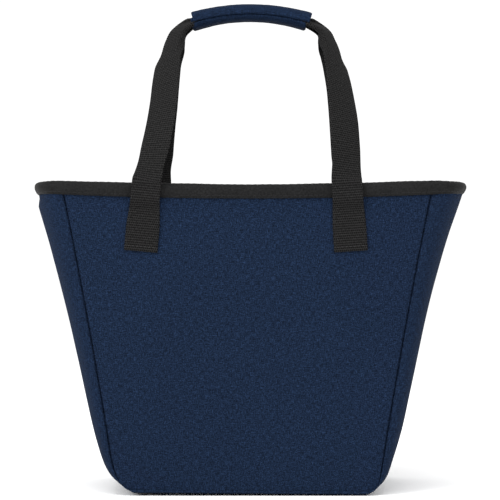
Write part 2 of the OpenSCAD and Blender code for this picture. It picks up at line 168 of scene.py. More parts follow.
def tube(name, rings, uv=None, loop=False):
    """Closed solids through rings of points: capped at both ends, or joined into a loop. Rings
    are an array of (rods,) rings, points and XYZ."""
    rings = rings.reshape(-1, *rings.shape[-3:])
    rods, n, m = rings.shape[:3]
    faces = []
    for base in range(0, rods * n * m, n * m):
        for i in range(n if loop else n - 1):
            this, after = base + i * m, base + (i + 1) % n * m
            for j in range(m):
                k = (j + 1) % m
                faces.append((this + j, this + k, after + k, after + j))
        if not loop:
            faces += [tuple(range(base + m - 1, base - 1, -1)),
                      tuple(range(base + (n - 1) * m, base + n * m))]
    obj = new_object(name, rings.reshape(-1, 3), faces, uv)
    face_outward(obj)
    return obj


def arc_length(points):
    """Distance along a polyline, from 0 at its first point."""
    steps = np.linalg.norm(np.diff(points, axis=0), axis=1)
    return np.concatenate([[0], np.cumsum(steps)])


def points_at(points, length, at):
    """Points of a polyline at the given lengths along it."""
    return join(*(np.interp(at, length, column) for column in points.T))


def resample(points, count):
    """Points evenly spaced by length along a polyline."""
    length = arc_length(points)
    return points_at(points, length, np.linspace(0, length[-1], count))


def rounded(points, steps=6):
    """A smooth open curve through a short list of points (Catmull-Rom)."""
    p = np.asarray(points, float)
    p = np.concatenate([[2 * p[0] - p[1]], p, [2 * p[-1] - p[-2]]])
    out = []
    for i in range(1, len(p) - 2):
        for k in np.arange(steps) / steps:
            a, b, c, d = p[i - 1:i + 3]
            out.append(0.5 * (2 * b + (c - a) * k + (2 * a - 5 * b + 4 * c - d) * k ** 2
                              + (3 * b - a - 3 * c + d) * k ** 3))
    out.append(p[-2])
    return np.array(out)


def finish_piece(obj, body, slot, material, *replaced):
    """Gives a piece its material, hides the CAD nodes it stands for, and sets the body it rides.
    The slot is not used.
    """
    obj.data.materials.clear()
    obj.data.materials.append(material)
    if replaced:
        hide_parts(*replaced)
    if body:
        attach(obj, body)


def coat(node, material):
    """Gives a CAD node that keeps its shape a better material."""
    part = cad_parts[node]
    part.data.materials.clear()
    part.data.materials.append(material)


def cad_box(node):
    """Lowest and highest corner of a CAD node, in millimetres."""
    return tuple(np.array(corner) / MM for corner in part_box(node))


# ---- Materials ----

class Nodes:
    """Builds a node tree with few words: each call adds a node and returns its output."""

    def __init__(self, name):
        self.material = bpy.data.materials.new(name)
        self.material.use_nodes = True
        self.tree = self.material.node_tree
        self.shader = self.tree.nodes["Principled BSDF"]

    def add(self, kind, inputs=(), output=0, **settings):
        node = self.tree.nodes.new(kind)
        for key, value in settings.items():
            setattr(node, key, value)
        for key, value in dict(inputs).items():
            self.plug(value, node.inputs[key])
        return node.outputs[output]

    def plug(self, value, socket):
        if isinstance(value, bpy.types.NodeSocket):
            self.tree.links.new(value, socket)
        else:
            socket.default_value = value

    def math(self, operation, a, b=0.0):
        return self.add("ShaderNodeMath", {0: a, 1: b}, operation=operation)

    def times(self, a, b):
        return self.math("MULTIPLY", a, b)

    def plus(self, a, b):
        return self.math("ADD", a, b)

    def uv(self, scale_u=1.0, scale_v=1.0):
        source = self.add("ShaderNodeUVMap", uv_map="cloth")
        return self.add("ShaderNodeMapping", {"Vector": source, "Scale": (scale_u, scale_v, 1.0)})

    def uv_parts(self):
        node = self.add("ShaderNodeSeparateXYZ", {0: self.uv()}).node
        return node.outputs[0], node.outputs[1]

    def noise(self, vector, scale, detail, rough=0.5):
        inputs = {"Vector": vector, "Scale": scale, "Detail": detail, "Roughness": rough}
        return self.add("ShaderNodeTexNoise", inputs, output="Fac")

    def yarns(self, per_metre_u, per_metre_v, detail):
        """Noise that follows the cloth."""
        return self.noise(self.uv(per_metre_u, per_metre_v), 1.0, detail)

    def cloud(self, per_metre, detail, rough=0.5):
        """Noise that fills space."""
        source = self.add("ShaderNodeTexCoord", output="Object")
        return self.noise(source, per_metre, detail, rough)

    def range(self, value, low, high, to_low, to_high):
        inputs = {"Value": value, "From Min": low, "From Max": high,
                  "To Min": to_low, "To Max": to_high}
        return self.add("ShaderNodeMapRange", inputs, output="Result")

    def spread(self, noise_value, to_low, to_high):
        """Maps a noise, most of which lies between 0.3 and 0.7."""
        return self.range(noise_value, 0.3, 0.7, to_low, to_high)

    def wave(self, along, pitch, operation="SINE"):
        """A wave from -1 to 1 over a distance in metres."""
        return self.math(operation, self.times(along, 2 * math.pi / pitch))

    def weave(self, pitch):
        """Height of a plain weave, -1 to 1."""
        u, v = self.uv_parts()
        return self.times(self.wave(u, pitch), self.wave(v, pitch))

    def done(self, colour, tone, roughness, bump=None, sheen=0.0, sheen_roughness=0.5,
             metallic=0.0, ior=1.45):
        """Sets the shader's inputs and returns the material. The tone is a grey value that
        multiplies the colour, and the bump a height, its strength and its distance."""
        grey = self.add("ShaderNodeCombineColor", {0: tone, 1: tone, 2: tone})
        # 6 and 7 are the mix node's two colours, and output 2 is the mixed one
        toned = self.add("ShaderNodeMix", {0: 1.0, 6: colour, 7: grey}, 2, data_type="RGBA",
                         blend_type="MULTIPLY")
        inputs = {"Base Color": toned, "Roughness": roughness, "Metallic": metallic, "IOR": ior,
                  "Sheen Weight": sheen, "Sheen Roughness": sheen_roughness}
        if bump:
            settings = dict(zip(("Height", "Strength", "Distance"), bump))
            inputs["Normal"] = self.add("ShaderNodeBump", settings, output="Normal")
        for key, value in inputs.items():
            self.plug(value, self.shader.inputs[key])
        return self.material


def canvas_material():
    """Navy melange canvas: a fine plain weave with lighter and darker yarns."""
    n = Nodes("navy_canvas")
    warp = n.yarns(2100, 260, 2)
    weft = n.yarns(260, 2100, 2)
    flecks = n.yarns(1050, 1050, 1)
    cloud = n.cloud(9.0, 3)
    yarn = n.plus(n.plus(warp, weft), flecks)
    tone = n.range(yarn, 1.15, 1.85, 0.36, 1.72)
    tone = n.plus(n.times(n.times(tone, tone), 0.62), 0.345)
    mottle = n.yarns(420, 420, 2)
    tone = n.times(tone, n.spread(mottle, 0.9, 1.1))
    tone = n.times(tone, n.spread(cloud, 0.95, 1.05))
    height = n.plus(n.weave(0.0011), n.times(yarn, 0.6))
    return n.done((0.0063, 0.0127, 0.0294, 1), tone, n.range(yarn, 1.1, 1.9, 0.82, 0.94),
                  (height, 0.6, 0.00022), sheen=0.005, ior=1.1)


def webbing_material():
    """Black ribbed webbing: each rib is a row of short floats, with painted highlights on the ribs
    and floats and painted shade in the grooves between the ribs.
    """
    n = Nodes("black_webbing")
    across, along = n.uv_parts()
    row = n.math("FLOOR", n.times(along, 1 / (RIB_PITCH * MM)))
    shift = n.times(row, math.pi)
    floats = n.math("SINE", n.plus(n.times(across, 2 * math.pi / 0.0015), shift))
    rib = n.wave(along, RIB_PITCH * MM, "COSINE")
    grain = n.yarns(900, 500, 2)
    # painted highlight and painted shade: the tone rises with the rib's and the floats' height, so
    # rib tops and floats are lighter and the grooves darker; the grain is the webbing's own random
    # tone
    tone = n.plus(n.range(rib, -1, 1, 0.34, 1.28), n.times(floats, 0.42))
    tone = n.times(tone, n.spread(grain, 0.55, 1.5))
    height = n.plus(n.times(floats, 0.5), rib)
    return n.done((0.0114, 0.0112, 0.0112, 1), tone, 0.72, (height, 0.5, 0.00018), sheen=0.004,
                  ior=1.12)


def binding_material():
    """Smooth black tape with a fine cross grain."""
    n = Nodes("black_binding")
    grain = n.yarns(1800, 300, 2)
    cloud = n.cloud(60.0, 2)
    tone = n.times(n.spread(grain, 0.75, 1.25), n.spread(cloud, 0.88, 1.12))
    speck = n.yarns(750, 750, 1)
    tone = n.times(tone, n.spread(speck, 0.68, 1.34))
    return n.done((0.0090, 0.0090, 0.0092, 1), tone, 0.6, (grain, 0.35, 0.00015), sheen=0.004,
                  sheen_roughness=0.4, ior=1.12)


def tape_material():
    """Black zip tape: a small herringbone twill, with painted highlights on its ridges and painted
    shade in its furrows.
    """
    n = Nodes("zip_tape")
    u, v = n.uv_parts()
    fold = n.math("PINGPONG", v, 0.0021)
    twill = n.wave(n.plus(u, fold), 0.0009)
    grain = n.yarns(1500, 1500, 1)
    # painted highlight and painted shade: the tone follows the twill's height, lighter on the
    # ridges and darker in the furrows; the grain is the tape's own random tone
    tone = n.plus(n.range(twill, -1, 1, 0.75, 1.1), n.times(grain, 0.25))
    return n.done((0.014, 0.014, 0.0150, 1), tone, 0.8, (twill, 0.5, 0.00012), sheen=0.01,
                  ior=1.2)


def foil_material():
    """Silver foil lining: crinkled film laminated on soft foam."""
    n = Nodes("foil_lining")
    broad, small = n.cloud(55.0, 1), n.cloud(160.0, 1)
    creases, fine = (n.math("ABSOLUTE", n.plus(part, -0.5)) for part in (broad, small))
    height = n.plus(n.times(creases, 4.0), n.times(fine, 1.2))
    tone = n.spread(n.cloud(40.0, 2), 0.9, 1.05)
    return n.done((0.62, 0.63, 0.65, 1), tone, n.spread(small, 0.24, 0.42), (height, 0.7, 0.0016),
                  metallic=0.85)


def coil_material():
    """Black nylon coil with a soft gloss."""
    n = Nodes("zip_coil")
    grain = n.cloud(1500.0, 2)
    return n.done((0.016, 0.016, 0.017, 1), n.spread(grain, 0.85, 1.15),
                  n.spread(grain, 0.32, 0.45))


def slider_material():
    """Black enamel on die-cast metal, slightly mottled."""
    n = Nodes("slider_enamel")
    grain = n.cloud(350.0, 4, 0.6)
    return n.done((0.028, 0.028, 0.030, 1), n.spread(grain, 0.85, 1.2),
                  n.spread(grain, 0.26, 0.42), (grain, 0.06, 0.0001), metallic=0.5)


def thread_material(name, colour):
    """Twisted sewing thread."""
    n = Nodes(name)
    twist = n.cloud(2600.0, 2)
    return n.done(colour, n.spread(twist, 0.75, 1.25), 0.7, (twist, 0.4, 0.0001), sheen=0.02,
                  ior=1.25)


def fuzz_material(name, colour):
    """Hook or loop tape: a fine dense pile."""
    n = Nodes(name)
    pile = n.cloud(1400.0, 3, 0.7)
    return n.done(colour, n.spread(pile, 0.6, 1.4), 0.9, (pile, 0.8, 0.0004), sheen=0.03,
                  ior=1.15)


CANVAS = canvas_material()
WEBBING = webbing_material()
BINDING = binding_material()
TAPE = tape_material()
FOIL = foil_material()
COIL = coil_material()
ENAMEL = slider_material()
BLACK_THREAD = thread_material("black_thread", (0.011, 0.011, 0.012, 1))
GREY_THREAD = thread_material("grey_thread", (0.030, 0.030, 0.031, 1))
NAVY_THREAD = thread_material("navy_thread", (0.016, 0.028, 0.062, 1))
PILE = fuzz_material("hook_and_loop", (0.02, 0.02, 0.021, 1))

# Stitches: thread, length, gap and radius, in millimetres
RIM_STITCH = (BLACK_THREAD, 3.0, 0.8, 0.24)
STRAP_END_STITCH = (GREY_THREAD, 1.7, 1.1, 0.2)
STRAP_EDGE_STITCH = (BLACK_THREAD, 2.4, 1.0, 0.2)
LID_STITCH = (NAVY_THREAD, 2.6, 0.9, 0.2)
TAB_STITCH = (GREY_THREAD, 1.8, 0.8, 0.18)


# ---- Shape of the body ----

def seam_x(z):
    return SEAM_HALF_WIDTH + SEAM_FLARE * z + SEAM_CURVE * z * z


def side_bulge(z):
    """How far the gusset stands out beyond the seams; it tucks in over the bottom corners."""
    tuck = 1 - 0.5 * np.exp(-(np.maximum(z - 13, 0) / 13) ** 1.3)
    return (8.5 + 0.055 * z + 3.5 * (np.maximum(z, 0) / 233) ** 6) * tuck


def half_depth(z):
    return BASE_HALF_DEPTH + DEPTH_FLARE * z


def wall_top(x):
    return WALL_HEIGHT + RIM_RISE * np.minimum(1, np.abs(x) / seam_x(WALL_HEIGHT)) ** 2


def belly(up):
    return PANEL_BELLY * np.sin(math.pi * np.minimum(1, up / 0.9))


def end_section(turns, inset, z, bulge=None, flatness=SIDE_FLATNESS):
    """Round one end of the bag, from its front seam to its rear one: how far out from the seams,
    and the depth from the middle."""
    bulge = side_bulge(z) if bulge is None else bulge
    out = (bulge - inset) * np.minimum(1, 1.02 * np.cos(turns) ** (2 / flatness))
    depth = (half_depth(z) - inset) * np.sign(turns) * np.abs(np.sin(turns)) ** (2 / flatness)
    return out, depth


def side_outline(corner_steps, side_steps):
    """One side of the panels' outline from the bottom edge up: half width, height, turn."""
    turn = np.linspace(0, math.pi / 2, corner_steps + 1)
    z = SEAM_Z + CORNER_RADIUS * (1 - np.cos(turn))
    corner = join(seam_x(z) - CORNER_RADIUS * (1 - np.sin(turn)), z, turn)
    z = np.linspace(SEAM_Z + CORNER_RADIUS, RIM_CORNER_Z, side_steps + 1)[1:]
    side = join(seam_x(z), z, math.pi / 2)
    return np.concatenate([corner, side])


def edge_dive(distance, z):
    """How far cloth turns inward at a distance from a seam; the seam lies flatter near the base."""
    groove = 2.4 * (0.2 + 0.8 * smooth((z - 6) / 14)) * np.exp(-(distance / 0.55) ** 2)
    return groove + 0.45 * np.exp(-(distance / 3.5) ** 2)


def pucker(distance, along, seed):
    """Small gathers that a seam's stitches pull into the cloth beside it."""
    wander = 0.9 * np.sin(along / 23 + seed) + 0.6 * np.sin(along / 9.5 + 2 * seed)
    gathers = np.sin(2 * math.pi * along / GATHER_PITCH + wander)
    return 0.16 * np.exp(-(distance / 6) ** 2) * gathers


def wall_waves(x, z, side):
    """Soft waves of a panel's padded cloth."""
    points = join(x, 40.0 * side, z)
    return 0.75 * ripple(points * (1, 1, 0.8), 95, 3) + 0.28 * ripple(points, 34, 5)


def make_panel(side, name):
    outline = side_outline(14, 76)
    # columns of points, closer together beside the seam
    across = np.linspace(0, 1, 56)[:-1] * 0.965
    across = np.concatenate([across, [0.968, 0.976, 0.984, 0.989, 0.9925, 0.995, 0.9975, 1.0]])
    across = np.concatenate([-across[:0:-1], across]) * -side
    x = across[None, :] * (outline[:, :1] + 0.15)
    up = np.repeat((outline[:, 1:2] - SEAM_Z) / (RIM_CORNER_Z - SEAM_Z), len(across), 1)
    z = lerp(SEAM_Z, wall_top(x), up)
    border = resample(side_outline(40, 120)[:, :2], 420)
    border = np.concatenate([border * (-1, 1), [[0, SEAM_Z]], border])
    length = arc_length(border)
    # distance to the outline, and the place along it, from the nearest of its points
    flat = join(x.ravel(), lerp(SEAM_Z, RIM_CORNER_Z, up).ravel())
    nearest, distance = [], []
    for row in flat.reshape(len(outline), -1, 2):
        gap = np.linalg.norm(row[:, None] - border[None], axis=2)
        nearest.append(gap.argmin(1))
        distance.append(gap.min(1))
    on_bottom = (np.abs(flat[:, 0]) < outline[0, 0]).reshape(x.shape)
    above_seam = flat[:, 1].reshape(x.shape) - SEAM_Z
    distance = np.array(distance)
    distance = np.where(on_bottom, np.minimum(distance, above_seam), distance)
    relief = wall_waves(x, z, side) * (1 - np.exp(-(distance / 14) ** 2))
    relief = relief - edge_dive(distance, z) + pucker(distance, length[np.array(nearest)], side)
    plain = half_depth(z) + belly(up) * (1 - np.abs(across) ** 3)
    outer = join(x, side * (plain + relief), z)
    uv = join(x, z)
    inner = outer - (0, side * CANVAS_T, 0)
    canvas = shell(f"{name}_canvas", settle(outer), settle(inner), uv)
    finish_piece(canvas, "bag", "canvas", CANVAS, f"{name}_panel", f"{name}_foam")

    crinkle = 0.45 * ripple(join(x, plain * side, z), 26, 11)
    film_out = join(x, side * (plain - FILM_IN + crinkle), z)
    film_in = film_out - (0, side * FILM_T, 0)
    film = shell(f"{name}_foil", settle(film_out), settle(film_in), uv)
    finish_piece(film, "bag", "foil_lining", FOIL, f"{name}_lining")


def panel_y(x, z, side):
    """Outward distance of a panel's outside surface from the middle, near x and z."""
    up = (z - SEAM_Z) / (wall_top(x) - SEAM_Z)
    across = x / seam_x(z)
    return half_depth(z) + belly(up) * (1 - np.abs(across) ** 3) + wall_waves(x, z, side)


def gusset_grid(inset, outline, turns):
    """Points of the gusset from its top left corner, under the base, to the top right."""
    rows = []
    for hand, part in ((-1, outline[::-1]), (1, outline[1:])):
        for half_width, z, turn in part:
            k = turn / (math.pi / 2)
            bulge = lerp(SEAM_Z - 0.1, side_bulge(z), smooth(k))
            flatness = lerp(BASE_FLATNESS, SIDE_FLATNESS, smooth(k))
            reach, depth = end_section(turns, inset, z, bulge, flatness)
            x = hand * (half_width + 0.1) + hand * math.sin(turn) * reach
            rows.append(join(x, depth, z - math.cos(turn) * reach))
    grid = np.array(rows)
    # evens out the turn into the bottom corners, but holds the seams
    hold = (1 - np.abs(np.sin(turns)) ** 16)[None, :, None]
    for _ in range(40):
        near = np.linalg.norm(grid[2:] - grid[:-2], axis=-1, keepdims=True) < 12
        grid[1:-1] += 0.25 * (grid[:-2] + grid[2:] - 2 * grid[1:-1]) * near * hold
    return grid


def grid_normals(grid):
    """Unit normals of a grid of points, by central differences."""
    across = np.gradient(grid, axis=1)
    down = np.gradient(grid, axis=0)
    normal = np.cross(across, down)
    return normal / np.maximum(np.linalg.norm(normal, axis=-1, keepdims=True), 1e-9)


def make_gusset():
    outline = side_outline(16, 70)
    columns = 83
    turns = np.linspace(-1, 1, columns)
    turns = np.radians(90 * np.sign(turns) * (1 - (1 - np.abs(turns)) ** 1.25))
    grid = gusset_grid(0, outline, turns)
    normal = grid_normals(grid)
    outward = np.sign((normal * (grid - (0, 0, 120))).sum(-1, keepdims=True))
    normal = normal * outward
    along = arc_length(grid[:, columns // 2])[:, None]
    width = np.stack([arc_length(row) for row in grid])
    distance = np.minimum(width, width[:, -1:] - width)
    waves = ripple(grid * (1, 0.8, 0.7), 70, 7) + 0.3 * ripple(grid, 28, 9)
    side = np.where(grid[..., 1] < 0, -1.0, 1.0)
    relief = waves * (1 - np.exp(-(distance / 12) ** 2)) - edge_dive(distance, grid[..., 2])
    relief = relief + pucker(distance, along, 1.0) * side
    outer = grid + normal * relief[..., None]
    above_floor = 0.03
    outer[..., 2] = np.maximum(outer[..., 2], above_floor)
    uv = join(width - width[:, -1:] / 2, along)
    obj = shell("gusset_canvas", settle(outer), settle(outer - normal * CANVAS_T), uv)
    finish_piece(obj, "bag", "canvas", CANVAS, "gusset", "gusset_foam")

    film_out = gusset_grid(FILM_IN, outline, turns)
    crinkle = 0.4 * ripple(film_out, 24, 13)
    film_out = film_out + normal * crinkle[..., None]
    film_in = film_out - normal * FILM_T
    film = shell("gusset_foil", settle(film_out), settle(film_in), uv)
    finish_piece(film, "bag", "foil_lining", FOIL, "gusset_lining")


def make_base_insert():
    """The stiff board on the floor of the bag, covered in foil with a rounded edge."""
    low, high = cad_box("base_board")
    middle, half = (low + high) / 2, (high - low) / 2
    edge = rounded([(0.0, -1.0), (-0.25, -0.5), (-0.25, 0.5), (0.0, 1.0)], 3) + (0.5, 0)
    profile = [(14, -1), (1, -1), *edge, (1, 1), (14, 1)]
    angles = np.linspace(0, 2 * math.pi, 96, endpoint=False)
    corner_power = 2 / 9
    rings = []
    for inset, level in profile:
        x, y = (reach * np.sign(share) * np.abs(share) ** corner_power for reach, share in
                ((half[0] - inset, np.cos(angles)), (half[1] - inset, np.sin(angles))))
        wave = 0.15 * ripple(join(x, y, 0), 30, 21)
        rings.append(join(x, y, middle[2] + level * half[2] + wave * (level > 0.9)))
    rings = np.array(rings)
    obj = tube("base_insert", settle(rings), rings[..., :2])
    finish_piece(obj, "bag", "board", FOIL, "base_board")


# How the cloth settles, left and right: how far inward at the seams, at the sides below the
# rim and at the rim; where the rim starts and over what height; how far the rim's ends droop
SEAMS_IN, SIDES_IN, RIM_IN = (2.0, 6.0), (0.0, 3.2), (3.3, 2.6)
RIM_FROM_Z, RIM_OVER, RIM_DROOP = (217, 196), (10, 26), (1.4, 0.8)
CORNER_TUCK, CORNER_LIFT = 4.2, 2.0


def settle(points):
    """Moves points of the body to where the filled-out cloth settles: the seams stand a little
    inward, more so on the right, and the ends of the rim droop between their corners."""
    points = np.array(points, float)
    x, z = points[..., 0], points[..., 2]

    def pick(pair):
        return np.where(x < 0, *pair)

    seam = seam_x(z)
    inside = np.clip(np.abs(x) / seam, 0, 1) ** 2
    beyond = np.clip((np.abs(x) - seam) / side_bulge(z), 0, 1)
    rim = smooth((z - pick(RIM_FROM_Z)) / pick(RIM_OVER))
    inward = lerp(pick(SEAMS_IN), lerp(pick(SIDES_IN), pick(RIM_IN), rim), beyond)
    points[..., 0] -= np.sign(x) * inward * inside
    # the left bottom corner is tucked in and lifts a little off the floor
    tucked = pick((1.0, 0.0)) * inside
    points[..., 0] += CORNER_TUCK * tucked * np.exp(-(z / 15) ** 2)
    lift = CORNER_LIFT * tucked * smooth((np.abs(x) - 50) / 52) * np.exp(-(z / 14) ** 2)
    points[..., 2] += lift
    points[..., 2] -= pick(RIM_DROOP) * beyond ** 1.5 * smooth((z - 180) / 46)
    return points


# ---- Rim binding ----

def rim_path(t, z_offset):
    """Points round the rim at an inset t, with the height of the wall's top plus an offset."""
    shares = np.linspace(-1, 1, 151)
    x0 = shares * seam_x(WALL_HEIGHT)
    z = wall_top(x0) + z_offset
    front = join(shares * (seam_x(z) + SEAM_GAP), -(half_depth(z) - t), z)
    z_end = RIM_CORNER_Z + z_offset
    turns = np.radians(np.linspace(-90, 90, 57))[1:-1]
    reach, depth = end_section(turns, t, z_end)
    end = join(seam_x(z_end) + SEAM_GAP + reach, depth, z_end)
    return np.concatenate([front, end, front[::-1] * (1, -1, 1), end[::-1] * (-1, 1, 1)])


def smooth_loop(points, times):
    """Evens out a closed line of points."""
    for _ in range(times):
        points = (np.roll(points, 1, 0) + 2 * points + np.roll(points, -1, 0)) / 4
    return points


BINDING_DROP = 8.6
RIM_STITCH_INSET, RIM_STITCH_DROP = 1.85, 6.8
END_FROM_X, END_OVER = 141, 25


def toward_ends(points):
    """0 along the front and rear of the rim, 1 round its ends."""
    return np.clip((np.abs(points[..., 0]) - END_FROM_X) / END_OVER, 0, 1)


def make_binding():
    # section of the tape as (inset, height): its outer face, top and inner face, then the
    # channel that the wall's edge sits in
    outer_face = [(-SEAM_GAP, -BINDING_DROP), (-1.1, -BINDING_DROP - 0.15), (-1.6, -7.6),
                  (-2.0, -5.4), (-2.0, -3.0), (-1.3, -0.6), (0.1, 1.1), (2.0, 1.95)]
    inner_face = [(WALL_T - p[0], p[1] * (1.4 if p[1] < -2 else 1)) for p in outer_face[::-1]]
    top = rounded(outer_face + [(WALL_T / 2, 2.05)] + inner_face, 4)
    channel = [(WALL_T + SEAM_GAP, -8), (WALL_T + SEAM_GAP, 0.4), (-SEAM_GAP, 0.4), (-SEAM_GAP, -6)]
    profile = np.concatenate([top, channel])
    lines = np.stack([smooth_loop(rim_path(t, dz), 4) for t, dz in profile], 1)
    # the tape shows less deep round the ends
    shallow = np.clip((-1 - profile[:, 1]) / (BINDING_DROP - 1), 0, 1) * (profile[:, 0] < 2)
    lines[..., 2] += 2.2 * toward_ends(lines[:, :1]) * shallow
    centre = lines.mean(1)
    along = arc_length(np.concatenate([centre, centre[:1]]))[:-1]
    outward = lines[:, 0] - lines[:, len(top) - 1]
    outward[:, 2] = 0
    outward /= np.linalg.norm(outward, axis=1, keepdims=True)
    wave = 0.5 * ripple(centre, 42, 31) + 0.25 * ripple(centre, 17, 33)
    gather = 0.10 * np.sin(2 * math.pi * along / 5.2 + 1.3 * np.sin(along / 19))
    share = np.clip((profile[:, 1] + BINDING_DROP) / (BINDING_DROP + 2), 0, 1)
    face = np.zeros(len(profile))
    face[1:len(top) - 1] = 1
    lines[..., 2] += (wave[:, None] * share + gather[:, None]) * face * 0.9
    side = np.where(np.arange(len(profile)) < len(top) / 2, 1, -1)
    push = (0.35 * ripple(lines, 15, 35) + gather[:, None] * 1.2) * face * side
    lines = settle(lines + outward[:, None] * push[..., None])
    length = arc_length(np.concatenate([profile, profile[:1]]))[:-1]
    tape = tube("rim_binding_tape", lines, join(along[:, None], length), loop=True)
    finish_piece(tape, "bag", "binding", BINDING, "rim_binding")

    stitches = []
    for t in (-RIM_STITCH_INSET, WALL_T + RIM_STITCH_INSET):
        line = smooth_loop(rim_path(t, -RIM_STITCH_DROP), 4)
        line[:, 2] += 1.6 * toward_ends(line)
        line[:, 2] += 0.15 * wave
        stitches.append(settle(np.concatenate([line, line[:1]])))
    sew("rim_stitches", stitches, "bag", "binding", *RIM_STITCH)


def sew(name, lines, body, slot, thread, stitch, gap, radius):
    """Rows of stitches, each a short rounded length of thread along the given lines."""
    # each ring's place along the stitch and its share of the thread's radius
    ring_at = [(-0.5, 0.35), (-0.42, 0.9), (-0.2, 1), (0.2, 1), (0.42, 0.9), (0.5, 0.35)]
    turns = np.linspace(0, 2 * math.pi, 6, endpoint=False)[:, None]
    rods = []
    for line in lines:
        length = arc_length(line)
        count = max(1, int(length[-1] // (stitch + gap)))
        for middle in (np.arange(count) + 0.5) * length[-1] / count:
            ends = points_at(line, length, middle + np.array([-0.5, 0.5]) * stitch)
            along = ends[1] - ends[0]
            ahead = along / np.linalg.norm(along)
            side = np.cross(ahead, (0, 0, 1) if abs(ahead[2]) < 0.8 else (1, 0, 0))
            side /= np.linalg.norm(side)
            circle = radius * (np.cos(turns) * side + np.sin(turns) * np.cross(side, ahead))
            rods.append([ends.mean(0) + along * share + circle * scale
                         for share, scale in ring_at])
    finish_piece(tube(name, np.array(rods)), body, slot, thread)


# ---- Handles ----

# how far the webbing stands off the rim, and where its sides fold, from its middle
RIM_FACE, FOLD_LINE, FOLD_RADIUS = 2.8, 6.7, 1.1
STITCH_INSET = 10.8
END_STITCHES_UP = 3.4
EDGE_STITCHES_TOP = 214

# The free legs on their way to the grip: height and depth from the middle, then for each leg
# the front strap's X, the rear strap's X and how far the webbing has turned, in degrees
LEG_Z = [240, 252, 267, 282, 297, 313, 329, 338, 346.5, 355]
LEG_Y = [73.0, 68.8, 63.4, 56.0, 47.3, 37.0, 25.4, 18.8, 13.2, 8.4]
LEGS = {
    "left": ([-75.2, -72.4, -69.7, -67.2, -65.6, -64.5, -63.2, -62.0, -59.7, -55.4],
             [-75.1, -74.6, -73.3, -71.7, -69.6, -67.6, -65.0, -63.2, -60.4, -56.0],
             [12, 26, 30, 32, 35, 38, 44, 46, 45, 45]),
    "right": ([71.5, 71.6, 71.2, 70.7, 69.7, 68.0, 65.6, 64.4, 61.9, 57.9],
              [78.4, 78.2, 77.2, 75.8, 73.9, 71.3, 67.0, 65.3, 62.5, 58.5],
              [12, 25, 29, 32, 38, 45, 53, 55, 58, 61]),
}
LEG_BOTTOM_Z, LEG_TOP_Z = 236, 363
# the webbing's depth and turn where it enters the wrap
MOUTH_DEPTH, MOUTH_TURN = 4.6, 52.0


def grip_arch(angle, lift, y):
    """Coordinates on the grip's arch, at an angle from its top and a lift from its middle line."""
    radius = GRIP_RADIUS + lift
    return radius * np.sin(angle), y, GRIP_CENTRE_Z + radius * np.cos(angle)


def strap_route(tab, side, leg):
    """One strap from its sewn end, over the rim, to the middle of the grip: rows of X, Y, Z, how
    far the webbing has turned in degrees, and its share of the way up the free leg (0 to 1)."""
    z = np.linspace(TAB_END_Z, TAB_TOP_Z - 1, 24)
    x = lerp(tab[0], tab[1], (z - TAB_END_Z) / (TAB_TOP_Z - TAB_END_Z))
    on_wall = panel_y(x, z, side) + SEAM_GAP + WEBBING_T / 2
    over_rim = half_depth(TAB_TOP_Z) + RIM_FACE + WEBBING_T / 2
    on_bag = join(x, side * lerp(on_wall, over_rim, smooth((z - 214) / 9)), z, 0, 0)

    front_x, rear_x, turn = LEGS[leg]
    z, y = np.array(LEG_Z), side * np.array(LEG_Y)
    up = (z - LEG_BOTTOM_Z) / (LEG_TOP_Z - LEG_BOTTOM_Z)
    free = join(front_x if side < 0 else rear_x, y, z, turn, up)

    angles = np.radians([GRIP_HALF_ANGLE + 0.5, 15.5, 14, 12, 9, 6, 3, 0])
    y = side * np.interp(angles, np.radians([12, 14, 17]), [0, 1.6, MOUTH_DEPTH])
    lift = side * np.interp(angles, np.radians([12, 16]), [STRAP_LIFT, 0.5])
    turn = np.interp(angles, np.radians([12.5, 14, 17]), [90, 80, MOUTH_TURN])
    in_grip = join(*grip_arch(math.copysign(1, tab[0]) * angles, lift, y), turn, 1)
    return rounded(np.concatenate([on_bag, free, in_grip]), 8)


